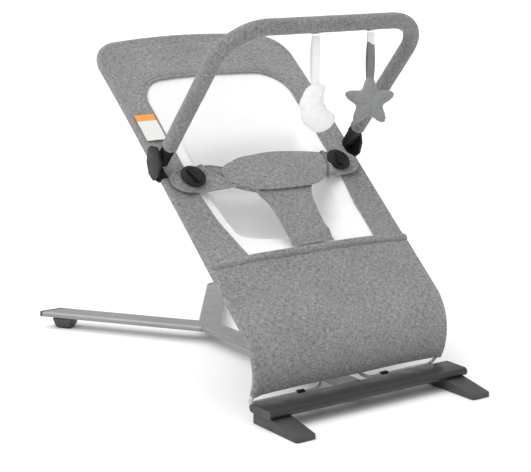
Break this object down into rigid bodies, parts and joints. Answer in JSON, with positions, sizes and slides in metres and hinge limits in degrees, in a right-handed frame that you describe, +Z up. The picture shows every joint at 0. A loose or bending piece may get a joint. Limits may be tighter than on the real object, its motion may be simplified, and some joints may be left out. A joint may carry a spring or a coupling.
{
  "type": "bouncer seat",
  "caption": "Low infant bouncer seat: Y-shaped floor base, springing wire frame with a reclined cloth and mesh seat, waist belt, and a padded toy bar with a hanging moon and star.",
  "frame": {"origin": "on the floor under the middle of the object, at the bottom centre of its box", "axes": "+Z up, front crossbar and the sitter's feet towards -Y, headrest towards +Y, +X to the right of someone who looks along +Y"},
  "size_m": [0.4348, 0.812, 0.6232],
  "materials": {
    "bar_steel": "satin dark grey powder coat",
    "crossbar_steel": "satin charcoal powder coat",
    "foot_plastic": "fine-grained moulded charcoal",
    "black_plastic": "fine-grained moulded black",
    "hub_plastic": "fine-grained moulded dark grey",
    "rubber": "matte",
    "wire_steel": "bright plated wire",
    "grey_cloth": "grey melange woven polyester",
    "white_mesh": "white air mesh",
    "toy_white": "white plush",
    "toy_grey": "grey plush",
    "label": "plain woven label"
  },
  "bodies": {
    "base": {"front_crossbar": "crossbar_steel", "crossbar_end_cap_left": "foot_plastic", "crossbar_end_cap_right": "foot_plastic", "front_foot_left": "foot_plastic", "front_foot_right": "foot_plastic", "front_foot_pad_left": "rubber", "front_foot_pad_right": "rubber", "foot_screw_left_front": "wire_steel", "foot_screw_left_rear": "wire_steel", "foot_screw_right_front": "wire_steel", "foot_screw_right_rear": "wire_steel", "base_stem": "bar_steel", "rear_arm_left": "bar_steel", "rear_arm_right": "bar_steel", "rear_arm_cap_left": "foot_plastic", "rear_arm_cap_right": "foot_plastic", "rear_foot_left": "foot_plastic", "rear_foot_right": "foot_plastic", "rear_foot_pad_left": "rubber", "rear_foot_pad_right": "rubber", "wire_clip_left": "black_plastic", "wire_clip_right": "black_plastic"},
    "spring_rods": {"spring_rod_left": "wire_steel", "spring_rod_right": "wire_steel"},
    "seat": {"side_rail_left": "wire_steel", "side_rail_right": "wire_steel", "backrest_bow": "wire_steel", "back_brace": "wire_steel", "support_frame": "wire_steel", "support_clip": "black_plastic", "seat_cover": "grey_cloth", "mesh_panel": "white_mesh", "leg_panel": "grey_cloth", "waist_belt": "grey_cloth", "belt_flap": "grey_cloth", "crotch_strap": "grey_cloth", "sewn_label": "label", "belt_button_left": "hub_plastic", "belt_button_right": "hub_plastic", "button_bar_left": "black_plastic", "button_bar_right": "black_plastic", "bar_mount_left": "black_plastic", "bar_mount_right": "black_plastic"},
    "toy_bar": {"bar_socket_left": "black_plastic", "bar_socket_right": "black_plastic", "bar_pin_left": "wire_steel", "bar_pin_right": "wire_steel", "bar_cover_left": "hub_plastic", "bar_cover_right": "hub_plastic", "toy_bar_tube": "black_plastic", "toy_bar_sleeve": "grey_cloth", "moon_loop": "toy_white", "star_loop": "toy_grey"},
    "moon": {"moon_ribbon": "toy_white", "moon_toy": "toy_white"},
    "star": {"star_ribbon": "toy_grey", "star_toy": "toy_grey"}
  },
  "joints": [
    {"name": "recline_fold", "type": "hinge", "parent": "base", "child": "spring_rods", "pos_m": [0, -0.26454, 0.02259], "axis": [1, 0, 0], "range_deg": [-36, 0]},
    {"name": "bounce", "type": "hinge", "parent": "spring_rods", "child": "seat", "pos_m": [0, -0.26454, 0.02259], "axis": [1, 0, 0], "range_deg": [-4, 4], "stiffness_Nm_per_rad": 90, "springref_deg": 1.68},
    {"name": "toy_bar_tilt", "type": "hinge", "parent": "seat", "child": "toy_bar", "pos_m": [0, -0.02105, 0.3772], "axis": [1, 0, 0], "range_deg": [-38, 38]},
    {"name": "moon_swing", "type": "hinge", "parent": "toy_bar", "child": "moon", "pos_m": [-0.031, -0.22458, 0.5931], "axis": [1, 0, 0], "range_deg": [-40, 40]},
    {"name": "star_swing", "type": "hinge", "parent": "toy_bar", "child": "star", "pos_m": [0.08, -0.22458, 0.5931], "axis": [1, 0, 0], "range_deg": [-40, 40]}
  ]
}
